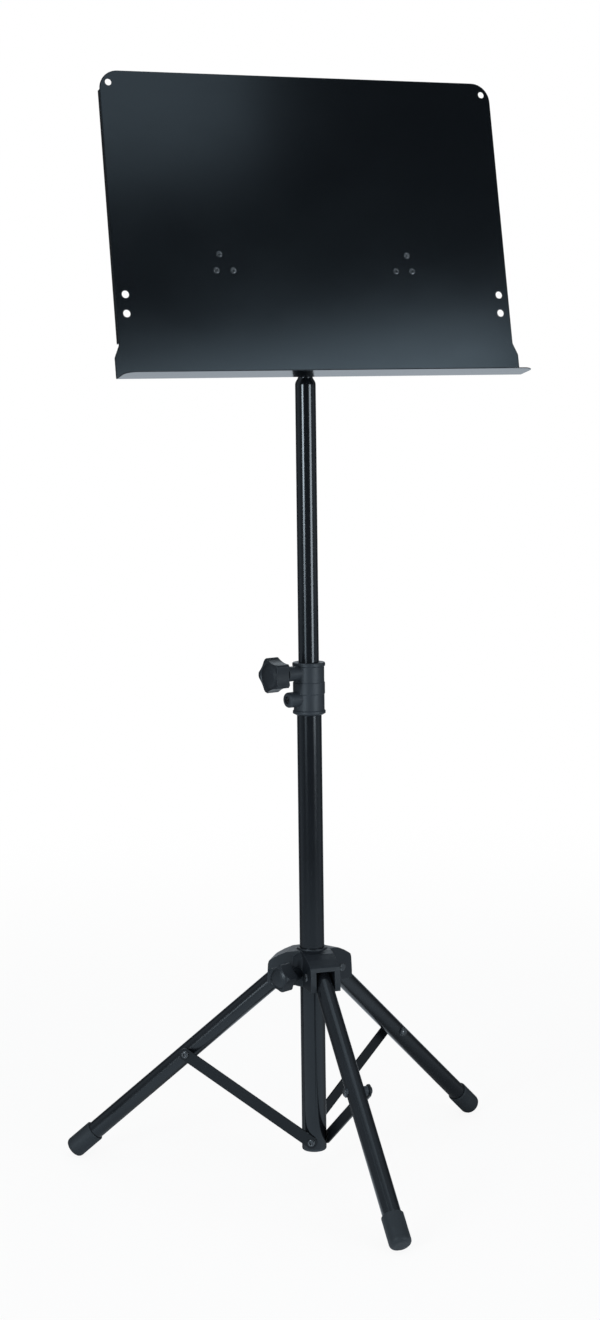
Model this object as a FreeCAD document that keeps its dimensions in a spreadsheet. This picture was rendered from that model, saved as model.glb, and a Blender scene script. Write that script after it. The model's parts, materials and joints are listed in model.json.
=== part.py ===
"""Orchestra music stand: a folded steel desk on a telescopic pole with a folding three-leg base.

Frame: +Z up, the floor is Z = 0, and the pole's axis is X = Y = 0. The desk faces -Y.
"""
import FreeCAD, Part
import math
import os
import re
import Sketcher

from FreeCAD import Placement, Rotation, Vector

doc = FreeCAD.newDocument("music_stand")
sheet = doc.addObject("Spreadsheet::Sheet", "sizes")

# Driving dimensions, in millimetres and degrees: alias, value, what it is.
SIZES = [
    ("desk_width", 500, "desk across its folded side edges"),
    ("desk_height", 365, "desk from the shelf fold to the top edge"),
    ("desk_sheet", 1.2, "thickness of the desk's steel sheet"),
    ("desk_corner", 23, "radius of the desk's two top corners"),
    ("desk_tilt", 11.2, "lean of the desk from the vertical"),
    ("desk_base_height", 963.7, "height of the shelf fold above the floor"),
    ("shelf_depth", 40, "shelf from the desk's face to its front edge"),
    ("shelf_corner", 14, "radius of the shelf's two front corners"),
    ("foot_overhang", 6, "how far the unfolded foot of the desk stands out past each side edge"),
    ("foot_height", 25, "height of the straight part of that foot"),
    ("foot_slope", 14, "height over which the foot slopes back to the side edge"),
    ("flange_depth", 8, "depth of the side edges that are folded back"),
    ("flange_start_gap", 3, "gap between the foot's slope and the folded side edge"),
    ("bend_radius", 1.5, "inside radius of the shelf fold"),
    ("corner_hole_dia", 8, "holes in the top corners"),
    ("corner_hole_edge", 11, "corner hole from the side edge"),
    ("corner_hole_drop", 14.5, "corner hole from the top edge"),
    ("clip_hole_dia", 9, "pairs of holes near the foot"),
    ("clip_hole_edge", 12.5, "clip holes from the side edge"),
    ("clip_hole_height", 76.5, "lower clip hole above the shelf fold"),
    ("clip_hole_pitch", 22.5, "spacing of the two clip holes"),
    ("rivet_inner_x", 103.5, "inner lower desk rivet from the middle"),
    ("rivet_outer_x", 124.5, "outer lower desk rivet from the middle"),
    ("rivet_top_x", 119.5, "upper desk rivet from the middle"),
    ("rivet_low_height", 127.5, "lower desk rivets above the shelf fold"),
    ("rivet_top_height", 147, "upper desk rivet above the shelf fold"),
    ("rivet_shank_dia", 4.2, "shank of a desk rivet"),
    ("rivet_head_dia", 8, "head of a desk rivet"),
    ("rivet_head_rise", 1.6, "height of a desk rivet's head"),
    ("rivet_hollow_dia", 3, "hollow in the rolled end of a desk rivet"),
    ("axis_height", 137, "tilt axis above the shelf fold, along the desk"),
    ("bracket_sheet", 2, "thickness of the tilt brackets"),
    ("bracket_end_x", 134, "outer end of a tilt bracket from the middle"),
    ("bracket_height", 50, "height of a bracket's riveted plate"),
    ("ear_radius", 14, "round end of a bracket's ear"),
    ("ear_root", 8, "straight part of the ear next to the riveted plate"),
    ("bracket_corner", 6, "corners of the riveted plate"),
    ("axis_depth", 36.8, "tilt axis behind the desk's face"),
    ("tee_length", 184, "cross tube that the desk tilts on"),
    ("tee_dia", 20, "outside of the cross tube"),
    ("tee_wall", 2, "wall of the cross tube"),
    ("socket_dia", 24, "outside of the socket welded under the cross tube"),
    ("socket_length", 52, "length of that socket below the tilt axis"),
    ("socket_floor", 4, "steel between the cross tube and the end of the neck"),
    ("roll_pin_dia", 4, "pin through the socket and the neck"),
    ("roll_pin_share", 0.7, "place of that pin, as a share of the socket's length"),
    ("tilt_bolt_dia", 8, "tilt bolts"),
    ("tilt_head_dia", 15, "head of a tilt bolt"),
    ("tilt_head_thick", 5, "thickness of a tilt bolt's head"),
    ("friction_washer_thick", 1.5, "fibre washers in the tilt joint"),
    ("spring_washer_thick", 1.6, "spring washers under the bolt heads"),
    ("end_plug_length", 16, "threaded plugs in the cross tube"),
    ("flat_gap", 0.1, "clearance between flat faces that slide"),
    ("run_gap", 0.05, "radial running clearance of a pin or bolt in its hole"),
    ("slide_gap", 0.1, "radial clearance of a tube in its guide"),
    ("upper_dia", 25, "outside of the upper tube"),
    ("upper_wall", 1.2, "wall of the upper tube"),
    ("shoulder_height", 961, "height where the upper tube is drawn in to its neck"),
    ("shoulder_length", 6, "length of that shoulder"),
    ("neck_dia", 18, "neck at the top of the upper tube"),
    ("upper_inside", 215, "length of the upper tube held inside the lower one"),
    ("bush_height", 30, "guide bush on the foot of the upper tube"),
    ("bush_floor", 3, "floor of the guide bush"),
    ("bush_vent_dia", 8, "air hole in the guide bush"),
    ("lower_dia", 30, "outside of the lower tube"),
    ("lower_wall", 1.5, "wall of the lower tube"),
    ("lower_end", 27, "bottom end of the lower tube above the floor"),
    ("cap_rim", 3.4, "rim of the cap under the lower tube"),
    ("cap_plug", 4.6, "length of that cap inside the tube"),
    ("cap_wall", 2, "wall of that cap"),
    ("collar_top", 620.5, "top of the clamping collar"),
    ("collar_length", 63.5, "length of the clamping collar"),
    ("collar_dia", 37.4, "outside of the collar"),
    ("collar_rim_dia", 39.8, "rims at the two ends of the collar"),
    ("collar_rim", 4, "height of the top rim"),
    ("collar_base_rim", 6, "height of the bottom rim"),
    ("band_dia", 38.8, "raised band round the middle of the collar"),
    ("band_low", 26, "bottom of the band above the collar's foot"),
    ("band_high", 39, "top of the band above the collar's foot"),
    ("tube_stop", 37, "end of the lower tube above the collar's foot"),
    ("collar_turn", 196, "direction that the collar's knob points in"),
    ("collar_knob_height", 51.3, "collar knob above the collar's foot"),
    ("collar_boss_dia", 18, "boss that holds the collar's threaded insert"),
    ("collar_boss_end", 35, "end of that boss from the pole's axis"),
    ("lug_height", 20, "fixing screw above the collar's foot"),
    ("lug_dia", 18.6, "lug round the fixing screw"),
    ("lug_round", 3, "rounding of the lug's rim"),
    ("lug_end", 33.5, "end of the lug from the pole's axis"),
    ("lug_recess_dia", 9, "recess for the fixing screw's head"),
    ("lug_recess_depth", 4, "depth of that recess"),
    ("fixing_screw_dia", 5, "fixing screw"),
    ("insert_dia", 12, "outside of the threaded inserts"),
    ("insert_length", 13, "length of the threaded inserts"),
    ("clamp_bolt_dia", 8, "thread of the two clamping knobs"),
    ("pad_dia", 11, "pressure pads at the tips of the clamping bolts"),
    ("pad_thick", 3, "thickness of the pressure pads"),
    ("pad_clearance", 0.4, "gap from a pressure pad to its tube"),
    ("collar_knob_dia", 44, "collar knob, twice the reach of its five points"),
    ("collar_knob_thick", 20, "thickness of the collar knob"),
    ("collar_knob_point", 270, "where one of its points is, round from straight down"),
    ("hub_knob_dia", 34, "hub knob, twice the reach of its five points"),
    ("hub_knob_thick", 19, "thickness of the hub knob"),
    ("hub_knob_point", 95, "where one of its points is, round from straight down"),
    ("knob_neck_dia", 16, "round neck behind a knob"),
    ("knob_neck_length", 6.5, "length of that neck"),
    ("knob_gap", 1, "gap between a boss and the neck of its knob"),
    ("knob_edge", 0.8, "bevel round the back of a knob"),
    ("knob_side", 0.8, "share of a knob's thickness that its straight sides take"),
    ("hub_foot", 229.5, "bottom of the leg hub above the floor"),
    ("hub_height", 44, "height of the leg hub"),
    ("hub_core_dia", 54, "round core of the hub"),
    ("hub_lip_dia", 34.4, "top lip of the hub round the pole"),
    ("cheek", 6.9, "thickness of a leg socket's two cheeks"),
    ("arm_reach", 51, "mouth of a leg socket from the pole's axis"),
    ("arm_edge", 30, "height of a socket's top edge at its mouth"),
    ("leg_side_gap", 0.6, "gap between a leg and each cheek"),
    ("slot_drop", 2, "roof of the gap at the mouth, below the top of a level leg"),
    ("pin_reach", 34, "leg pins from the pole's axis"),
    ("pin_height", 15, "leg pins above the hub's foot"),
    ("pin_dia", 6, "leg pins and strut rivets"),
    ("pin_head_dia", 10, "heads of the leg pins"),
    ("pin_head_thick", 1.8, "thickness of those heads"),
    ("slot_back", 4, "material between the pole and the back of a socket's gap"),
    ("hub_knob_height", 16, "hub knob above the hub's foot"),
    ("hub_boss_dia", 16, "boss that holds the hub's threaded insert"),
    ("hub_boss_end", 37, "end of that boss from the pole's axis"),
    ("base_turn", 26.2, "direction of the first leg"),
    ("leg_dia", 22, "outside of a leg"),
    ("leg_wall", 1.2, "wall of a leg"),
    ("leg_length", 362, "leg pin to the end of the foot cap"),
    ("leg_tail", 6, "leg past its pin"),
    ("strut_place", 162.7, "leg pin to the strut's pivot, along the leg"),
    ("rubber_wall", 2, "rubber round the end of a leg"),
    ("cap_length", 38, "length of a foot cap"),
    ("cap_end", 4, "rubber under the end of the leg"),
    ("cap_round", 5, "rounding of the foot cap's end"),
    ("cap_flat", 0.8, "how far the foot cap is worn flat where it stands"),
    ("strut_width", 14.5, "width of a strut"),
    ("strut_thick", 2.3, "thickness of a strut"),
    ("strut_gap", 0.3, "gap from a strut to the lower tube"),
    ("strut_base_height", 36.7, "lower strut rivets above the floor"),
    ("joint_head_dia", 9.5, "heads of the strut rivets"),
    ("joint_head_thick", 2.2, "height of those heads"),
    ("joint_hollow_dia", 4, "hollow in the end of a strut rivet"),
    ("spacer_dia", 11, "spacers between a leg and its strut"),
    ("spacer_rise", 1.6, "height of the spacer under the far head of a leg's rivet"),
]

for row, (alias, number, meaning) in enumerate(SIZES, start=1):
    sheet.set("A%d" % row, meaning)
    sheet.set("B%d" % row, str(number))
    sheet.setAlias("B%d" % row, alias)
doc.recompute()

ALIAS = re.compile(r"\b(" + "|".join(alias for alias, number, meaning in SIZES) + r")\b")


def val(alias):
    """The number in the sheet under this alias."""
    return float(getattr(sheet, alias))


def bind(target, prop, formula):
    """Tie one property or constraint to a formula in the sheet's aliases."""
    target.setExpression(prop, ALIAS.sub(r"sizes.\1", str(formula)))


# ---------------------------------------------------------------- helpers

def new_body(name, label=None):
    body = doc.addObject("PartDesign::Body", name)
    body.Label = label or name
    return body


def new_sketch(body, name, plane="XZ_Plane", height=None):
    """A sketch on one of the body's own planes; height moves it along the plane's normal."""
    sketch = body.newObject("Sketcher::SketchObject", name)
    origin = [f for f in body.Origin.OriginFeatures if f.Role == plane][0]
    sketch.AttachmentSupport = [(origin, "")]
    sketch.MapMode = "FlatFace"
    if height is not None:
        bind(sketch, ".AttachmentOffset.Base.z", height)
    return sketch


def place_vertex(sketch, edge, end, across, up):
    """Hold one end or centre of a sketch edge at (across, up) from the sketch's origin."""
    for kind, formula in (("DistanceX", across), ("DistanceY", up)):
        index = sketch.addConstraint(Sketcher.Constraint(kind, -1, 1, edge, end, 1.0))
        bind(sketch, "Constraints[%d]" % index, formula)


def draw_outline(sketch, points):
    """A closed outline of straight lines through points, each a pair of formulas."""
    count = len(points)
    ring = [Vector(100 + 50 * math.cos(math.tau * i / count), 50 * math.sin(math.tau * i / count), 0)
            for i in range(count)]
    first = sketch.GeometryCount
    for i in range(count):
        sketch.addGeometry(Part.LineSegment(ring[i], ring[(i + 1) % count]), False)
    for i in range(count):
        following = first + (i + 1) % count
        sketch.addConstraint(Sketcher.Constraint("Coincident", first + i, 2, following, 1))
    for i, (across, up) in enumerate(points):
        place_vertex(sketch, first + i, 1, across, up)


def draw_circle(sketch, across, up, dia):
    """A circle with its centre and diameter tied to formulas."""
    edge = sketch.addGeometry(Part.Circle(Vector(10, 10, 0), Vector(0, 0, 1), 5), False)
    place_vertex(sketch, edge, 3, across, up)
    index = sketch.addConstraint(Sketcher.Constraint("Diameter", edge, 10.0))
    bind(sketch, "Constraints[%d]" % index, dia)


def revolve(body, name, points):
    """Turn an outline of (radius, height) pairs once round the body's Z axis."""
    sketch = new_sketch(body, name + "_outline")
    draw_outline(sketch, points)
    turned = body.newObject("PartDesign::Revolution", name)
    turned.Profile = sketch
    turned.ReferenceAxis = (sketch, ["V_Axis"])
    turned.Angle = 360
    body.Tip = turned
    doc.recompute()
    return turned


def pad(body, name, sketch, length, both_ways=False, backwards=False):
    grown = body.newObject("PartDesign::Pad", name)
    grown.Profile = sketch
    grown.Midplane = both_ways
    grown.Reversed = backwards
    bind(grown, "Length", length)
    body.Tip = grown
    doc.recompute()
    return grown


def pocket(body, name, sketch, length, both_ways=False, backwards=False):
    """Cut a sketch out of the body, and make sure that the cut removed something."""
    before = body.Shape.Volume
    cut = body.newObject("PartDesign::Pocket", name)
    cut.Profile = sketch
    cut.Midplane = both_ways
    cut.Reversed = backwards
    bind(cut, "Length", length)
    body.Tip = cut
    doc.recompute()
    assert cut.Shape.Volume < before - 1e-3, name + " cut nothing"
    return cut


def polar(body, name, features, count=3):
    """Repeat features round the body's Z axis."""
    ring = body.newObject("PartDesign::PolarPattern", name)
    ring.Originals = features
    z_axis = [f for f in body.Origin.OriginFeatures if f.Role == "Z_Axis"][0]
    ring.Axis = (z_axis, [""])
    ring.Angle = 360
    ring.Occurrences = count
    body.Tip = ring
    doc.recompute()
    return ring


def fillet(body, name, feature, radius, wanted):
    """Round the edges of a feature for which wanted(edge) is true."""
    names = ["Edge%d" % (i + 1) for i, edge in enumerate(feature.Shape.Edges) if wanted(edge)]
    assert names, name + " found no edge"
    rounded = body.newObject("PartDesign::Fillet", name)
    rounded.Base = (feature, names)
    bind(rounded, "Radius", radius)
    body.Tip = rounded
    doc.recompute()
    return rounded


def turned_piece(name, points, placement=None):
    """A piece that is one revolved outline."""
    body = new_body(name)
    revolve(body, name + "_turned", points)
    if placement is not None:
        body.Placement = placement
    return body


def cylinder(name, radius, height, placement):
    rod = doc.addObject("Part::Cylinder", name)
    bind(rod, "Radius", radius)
    bind(rod, "Height", height)
    rod.Placement = placement
    return rod


def group(name, members):
    """Identical separate pieces that share one node."""
    joined = doc.addObject("Part::Compound", name)
    joined.Links = members
    joined.Label = name
    return joined


def cut(name, base, tools):
    """Base less its tools."""
    result = doc.addObject("Part::Cut", name)
    result.Base = base
    if len(tools) > 1:
        joined = doc.addObject("Part::MultiFuse", name + "_tools")
        joined.Shapes = tools
        result.Tool = joined
    else:
        result.Tool = tools[0]
    result.Label = name
    return result


def about_z(angle):
    return Placement(Vector(), Rotation(Vector(0, 0, 1), angle))


def moved(x, y, z):
    return Placement(Vector(x, y, z), Rotation())


def facing(direction):
    """Turn a piece's own Z axis to a direction."""
    return Placement(Vector(), Rotation(Vector(0, 0, 1), direction))


nodes = []


def node(piece):
    """Mark a finished piece as one that is written to its own file."""
    nodes.append(piece)
    return piece


# ---------------------------------------------------------------- places worked out from the sizes

pin_z = val("hub_foot") + val("pin_height")
# The leg leans so far that the rounded corner of its cap meets the floor.
reach_side = val("leg_length") - val("cap_round")
drop_side = val("leg_dia") / 2 + val("rubber_wall") - val("cap_round")
wanted_drop = pin_z - val("cap_round") + val("cap_flat")
leg_angle = math.asin(wanted_drop / math.hypot(reach_side, drop_side)) - math.atan2(drop_side, reach_side)
joint_r = val("pin_reach") + val("strut_place") * math.cos(leg_angle)
joint_z = pin_z - val("strut_place") * math.sin(leg_angle)
strut_length = math.hypot(joint_r, joint_z - val("strut_base_height"))
strut_angle = math.asin((joint_z - val("strut_base_height")) / strut_length)
lower_radius = val("lower_dia") / 2
strut_face = lower_radius + val("strut_gap")
collar_foot = val("collar_top") - val("collar_length")

tilt = math.radians(val("desk_tilt"))
# The tilt axis crosses the pole's axis, and the desk's face stands in front of it.
desk_y = -(val("axis_depth") * math.cos(tilt) + val("axis_height") * math.sin(tilt))
axis_z = (val("desk_base_height") + val("axis_height") * math.cos(tilt)
          - val("axis_depth") * math.sin(tilt))
roll_pin_z = axis_z - val("roll_pin_share") * val("socket_length")
DESK = Placement(Vector(0, desk_y, val("desk_base_height")), Rotation(Vector(1, 0, 0), -val("desk_tilt")))
END_DIRECTIONS = (("left", -1), ("right", 1))
RIVETS = (("rivet_inner_x", "rivet_low_height"), ("rivet_outer_x", "rivet_low_height"),
          ("rivet_top_x", "rivet_top_height"))


# ---------------------------------------------------------------- desk

def make_desk_plate():
    """One folded sheet: back, shelf, two folded side edges, holes for clips and rivets."""
    body = new_body("desk_plate")
    face = new_sketch(body, "plate_outline")
    half = "desk_width / 2"
    foot = "(desk_width / 2 + foot_overhang)"
    slope = "(foot_height + foot_slope)"
    draw_outline(face, [
        ("-" + foot, 0), (foot, 0), (foot, "foot_height"), (half, slope), (half, "desk_height"),
        ("-" + half, "desk_height"), ("-" + half, slope), ("-" + foot, "foot_height")])
    plate = pad(body, "plate", face, "desk_sheet", backwards=True)
    top = val("desk_height")
    corner = fillet(body, "top_corners", plate, "desk_corner",
                    lambda e: abs(e.BoundBox.ZMin - top) < 0.01 and e.BoundBox.YLength > 0.01
                    and e.BoundBox.XLength < 0.01)
    step_heights = (val("foot_height"), val("foot_height") + val("foot_slope"))
    fillet(body, "foot_corners", corner, "foot_overhang",
           lambda e: e.BoundBox.XLength < 0.01 and e.BoundBox.ZLength < 0.01
           and min(abs(e.BoundBox.ZMin - z) for z in step_heights) < 0.01)

    ledge = new_sketch(body, "shelf_outline", "XY_Plane")
    draw_outline(ledge, [("-" + foot, "desk_sheet"), (foot, "desk_sheet"),
                         (foot, "-shelf_depth"), ("-" + foot, "-shelf_depth")])
    shelf = pad(body, "shelf", ledge, "desk_sheet")
    depth = val("shelf_depth")
    front = fillet(body, "shelf_corners", shelf, "shelf_corner",
                   lambda e: abs(e.BoundBox.YMin + depth) < 0.01 and e.BoundBox.YLength < 0.01
                   and e.BoundBox.XLength < 0.01)
    sheet_t = val("desk_sheet")
    inside = fillet(body, "fold_inside", front, "bend_radius",
                    lambda e: e.BoundBox.XLength > val("desk_width") and abs(e.BoundBox.YMin) < 0.01
                    and e.BoundBox.YLength < 0.01 and abs(e.BoundBox.ZMin - sheet_t) < 0.01)
    fillet(body, "fold_outside", inside, "bend_radius + desk_sheet - 0.3",
           lambda e: e.BoundBox.XLength > val("desk_width") and abs(e.BoundBox.YMin - sheet_t) < 0.01
           and e.BoundBox.YLength < 0.01 and abs(e.BoundBox.ZMin) < 0.01)

    strips = new_sketch(body, "side_edges", "XY_Plane", "foot_height + foot_slope + flange_start_gap")
    for side in ("-", ""):
        near = side + "(desk_width / 2 - desk_sheet)"
        draw_outline(strips, [(near, 0), (side + half, 0), (side + half, "flange_depth"),
                              (near, "flange_depth")])
    flange = pad(body, "side_edge", strips,
                 "desk_height - desk_corner - foot_height - foot_slope - flange_start_gap")
    half_width = val("desk_width") / 2
    fillet(body, "side_bends", flange, "0.8 * desk_sheet",
           lambda e: abs(abs(e.BoundBox.XMin) - half_width) < 0.01 and e.BoundBox.XLength < 0.01
           and abs(e.BoundBox.YMin) < 0.01 and e.BoundBox.YLength < 0.01 and e.BoundBox.ZLength > half_width)

    holes = new_sketch(body, "holes")
    for side in ("-", ""):
        draw_circle(holes, side + "(desk_width / 2 - corner_hole_edge)", "desk_height - corner_hole_drop",
                    "corner_hole_dia")
        for step in (0, 1):
            draw_circle(holes, side + "(desk_width / 2 - clip_hole_edge)",
                        "clip_hole_height + %d * clip_hole_pitch" % step, "clip_hole_dia")
        for across, up in RIVETS:
            draw_circle(holes, side + across, up, "rivet_shank_dia")
    pocket(body, "hole_cut", holes, "flange_depth", both_ways=True)
    body.Placement = DESK
    return body


def make_desk_rivets():
    """Six rivets with their rolled, hollow ends on the desk's face."""
    rivets = []
    back = "(desk_sheet + bracket_sheet)"
    for side, sign in END_DIRECTIONS:
        for number, (across, up) in enumerate(RIVETS):
            body = new_body("desk_rivet_%s_%d" % (side, number))
            # The outline's height runs from the desk's back to its face.
            revolve(body, "rivet_%s_%d_turned" % (side, number), [
                (0, "-%s - rivet_head_rise" % back), ("rivet_head_dia / 2", "-%s - rivet_head_rise" % back),
                ("rivet_head_dia / 2", "-" + back), ("rivet_shank_dia / 2", "-" + back),
                ("rivet_shank_dia / 2", 0), ("rivet_head_dia / 2", 0),
                ("rivet_head_dia / 2", "0.4 * rivet_head_rise"),
                ("rivet_head_dia / 2 - 0.7", "0.9 * rivet_head_rise"),
                ("rivet_head_dia / 2 - 1.4", "rivet_head_rise"),
                ("rivet_hollow_dia / 2 + 0.5", "rivet_head_rise"),
                ("rivet_hollow_dia / 2", "0.7 * rivet_head_rise"),
                ("rivet_hollow_dia / 2", "-0.5 * rivet_head_rise"), (0, "-0.5 * rivet_head_rise")])
            seat = Placement(Vector(sign * val(across), 0, val(up)), Rotation(Vector(1, 0, 0), 90))
            body.Placement = DESK.multiply(seat)
            rivets.append(body)
    return group("desk_rivets", rivets)


def make_bracket(side, sign):
    """A bent plate riveted to the desk's back, with an ear that turns on the tilt bolt."""
    body = new_body("bracket_" + side)
    ear_x = "%d * (tee_length / 2 + friction_washer_thick + flat_gap)" % sign
    end = "%d * bracket_end_x" % sign
    low = "(axis_height - bracket_height / 2)"
    high = "(axis_height + bracket_height / 2)"
    base = new_sketch(body, "base_%s_outline" % side, height="-desk_sheet")
    draw_outline(base, [(ear_x, low), (end, low), (end, high), (ear_x, high)])
    plate = pad(body, "base_" + side, base, "bracket_sheet", backwards=True)
    corner_x = sign * val("bracket_end_x")
    fillet(body, "base_corners_" + side, plate, "bracket_corner",
           lambda e: abs(e.BoundBox.XMin - corner_x) < 0.01 and e.BoundBox.XLength < 0.01
           and e.BoundBox.ZLength < 0.01)
    ear = new_sketch(body, "ear_%s_outline" % side, "YZ_Plane", ear_x)
    depth = "axis_depth"
    draw_outline(ear, [
        ("desk_sheet", low), ("desk_sheet + ear_root", low), (depth, "axis_height - ear_radius"),
        (depth + " + 0.7 * ear_radius", "axis_height - 0.7 * ear_radius"),
        (depth + " + ear_radius", "axis_height"),
        (depth + " + 0.7 * ear_radius", "axis_height + 0.7 * ear_radius"),
        (depth, "axis_height + ear_radius"), ("desk_sheet + ear_root", high), ("desk_sheet", high)])
    pad(body, "ear_" + side, ear, "bracket_sheet", backwards=sign < 0)
    bore = new_sketch(body, "ear_%s_bore" % side, "YZ_Plane")
    draw_circle(bore, depth, "axis_height", "tilt_bolt_dia + 2 * run_gap")
    pocket(body, "ear_%s_hole" % side, bore, "bracket_end_x", backwards=sign > 0)
    holes = new_sketch(body, "base_%s_holes" % side)
    for across, up in RIVETS:
        draw_circle(holes, "%d * %s" % (sign, across), up, "rivet_shank_dia")
    pocket(body, "base_%s_hole" % side, holes, "flange_depth", both_ways=True)
    body.Placement = DESK
    return body


node(make_desk_plate())
node(make_desk_rivets())
for side, sign in END_DIRECTIONS:
    node(make_bracket(side, sign))


# ---------------------------------------------------------------- tilt joint and upper tube

def make_upper_tube():
    """A drawn tube with a rounded shoulder and a thinner neck that carries the tilt joint."""
    outside = "upper_dia / 2"
    inside = "(upper_dia / 2 - upper_wall)"
    neck_in = "(neck_dia / 2 - upper_wall)"
    foot = "(collar_top - collar_length + tube_stop - upper_inside)"
    low = "(shoulder_height - shoulder_length)"
    top = "%s - tee_dia / 2 - socket_floor" % axis_z
    return turned_piece("upper_tube_drawn", [
        (inside, foot), (outside, foot), (outside, low),
        (outside + " - 0.3", low + " + 0.35 * shoulder_length"),
        (outside + " - 1.2", low + " + 0.7 * shoulder_length"),
        (outside + " - 2.4", "shoulder_height"), ("neck_dia / 2", "shoulder_height + 2"),
        ("neck_dia / 2", top), (neck_in, top), (neck_in, "shoulder_height"), (inside, low)])


def roll_pin_bore(name):
    """A hole for the pin, right through the socket and the neck."""
    start = Placement(Vector(0, -val("socket_dia"), roll_pin_z), Rotation(Vector(1, 0, 0), -90))
    return cylinder(name, "roll_pin_dia / 2", "socket_dia * 2", start)


def make_tilt_tee():
    """The cross tube with its socket welded under the middle, over the neck."""
    across = facing(Vector(1, 0, 0))
    start = Placement(Vector(-val("tee_length") / 2, 0, axis_z), Rotation()).multiply(across)
    tube = cylinder("tee_tube", "tee_dia / 2", "tee_length", start)
    bore = cylinder("tee_bore", "tee_dia / 2 - tee_wall", "tee_length", start)
    foot = moved(0, 0, axis_z - val("socket_length"))
    socket = cylinder("tee_socket", "socket_dia / 2", "socket_length", foot)
    neck = cylinder("tee_neck_bore", "neck_dia / 2", "socket_length - tee_dia / 2 - socket_floor", foot)
    roll = roll_pin_bore("tee_pin_bore")
    whole = doc.addObject("Part::Fuse", "tee_whole")
    whole.Base = tube
    whole.Tool = socket
    return cut("tilt_tee", whole, [bore, neck, roll])


def make_tee_pin():
    """A solid pin through the socket and the neck that stops the joint from turning."""
    start = Placement(Vector(0, -val("socket_dia") / 2 - 0.5, roll_pin_z), Rotation(Vector(1, 0, 0), -90))
    return cylinder("tee_pin", "roll_pin_dia / 2", "socket_dia + 1", start)


def side_places(distance):
    """Places on the tilt axis, one each side, with +Z pointing outward."""
    return [(side, moved(sign * distance, 0, axis_z).multiply(facing(Vector(sign, 0, 0))))
            for side, sign in END_DIRECTIONS]


def make_tilt_pieces():
    half = val("tee_length") / 2
    ear_end = half + val("friction_washer_thick") + 2 * val("flat_gap") + val("bracket_sheet")
    bolts, plugs, fibre, springs = [], [], [], []
    for side, place in side_places(half):
        plugs.append(turned_piece("plug_" + side, [
            ("tilt_bolt_dia / 2", "-end_plug_length"), ("tee_dia / 2 - tee_wall", "-end_plug_length"),
            ("tee_dia / 2 - tee_wall", 0), ("tilt_bolt_dia / 2", 0)], place))
        fibre.append(turned_piece("fibre_" + side, [
            ("tilt_bolt_dia / 2", 0), ("tee_dia / 2", 0), ("tee_dia / 2", "friction_washer_thick"),
            ("tilt_bolt_dia / 2", "friction_washer_thick")], place))
    for side, place in side_places(ear_end):
        springs.append(turned_piece("spring_" + side, [
            ("tilt_bolt_dia / 2", 0), ("tilt_head_dia / 2", 0),
            ("tilt_head_dia / 2", "0.4 * spring_washer_thick"),
            ("tilt_bolt_dia / 2 + 1", "spring_washer_thick"), ("tilt_bolt_dia / 2", "spring_washer_thick")],
            place))
    for side, place in side_places(ear_end + val("spring_washer_thick")):
        shank = ("spring_washer_thick + 2 * flat_gap + bracket_sheet + friction_washer_thick"
                 " + end_plug_length")
        bolts.append(turned_piece("bolt_" + side, [
            (0, "-(%s)" % shank), ("tilt_bolt_dia / 2", "-(%s)" % shank), ("tilt_bolt_dia / 2", 0),
            ("tilt_head_dia / 2", 0), ("tilt_head_dia / 2", "0.5 * tilt_head_thick"),
            ("tilt_head_dia / 2 - 1.5", "0.85 * tilt_head_thick"),
            ("tilt_head_dia / 2 - 4", "tilt_head_thick"), (2, "tilt_head_thick"),
            (2, "0.4 * tilt_head_thick"), (0, "0.4 * tilt_head_thick")], place))
    return [group("tee_end_plugs", plugs), group("friction_washers", fibre),
            group("spring_washers", springs), group("tilt_bolts", bolts)]


upper_raw = make_upper_tube()
node(cut("upper_tube", upper_raw, [roll_pin_bore("neck_pin_bore")]))
node(make_tilt_tee())
node(make_tee_pin())
for piece in make_tilt_pieces():
    node(piece)


# ---------------------------------------------------------------- guide bush

def make_guide_bush():
    """A thin plastic cup on the upper tube's foot that slides in the lower tube."""
    foot = "(collar_top - collar_length + tube_stop - upper_inside - flat_gap)"
    outside = "(lower_dia / 2 - lower_wall - slide_gap)"
    inside = "(upper_dia / 2 + slide_gap)"
    low = "(%s - bush_floor)" % foot
    return turned_piece("guide_bush", [
        ("bush_vent_dia / 2", low), (outside + " - 1", low), (outside, low + " + 1"),
        (outside, low + " + bush_height"), (inside, low + " + bush_height"), (inside, foot),
        ("bush_vent_dia / 2", foot)])


node(make_guide_bush())


# ---------------------------------------------------------------- lower tube and its collar

leg_turns = [val("base_turn") + 120 * k for k in range(3)]
LEG_NAMES = ("right", "left", "front")


def strut_axis_place(turn, distance):
    """A place at the foot of the pole for one strut's rivet, +Z pointing out through the wall."""
    side = about_z(turn).multiply(facing(Vector(0, 1, 0)))
    return moved(0, 0, val("strut_base_height")).multiply(side).multiply(moved(0, 0, distance))


def make_lower_tube():
    body = turned_piece("lower_tube_drawn", [
        ("lower_dia / 2 - lower_wall", "lower_end"), ("lower_dia / 2", "lower_end"),
        ("lower_dia / 2", "collar_top - collar_length + tube_stop"),
        ("lower_dia / 2 - lower_wall", "collar_top - collar_length + tube_stop")])
    holes = [cylinder("foot_bore_%d" % k, "pin_dia / 2", "lower_dia",
                      strut_axis_place(turn, 0)) for k, turn in enumerate(leg_turns)]
    lug_bore = cylinder("lug_screw_bore", "fixing_screw_dia / 2", "lower_dia",
                        moved(0, 0, collar_foot + val("lug_height")).multiply(
                            about_z(val("collar_turn")).multiply(facing(Vector(1, 0, 0)))))
    return cut("lower_tube", body, holes + [lug_bore])


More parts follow.
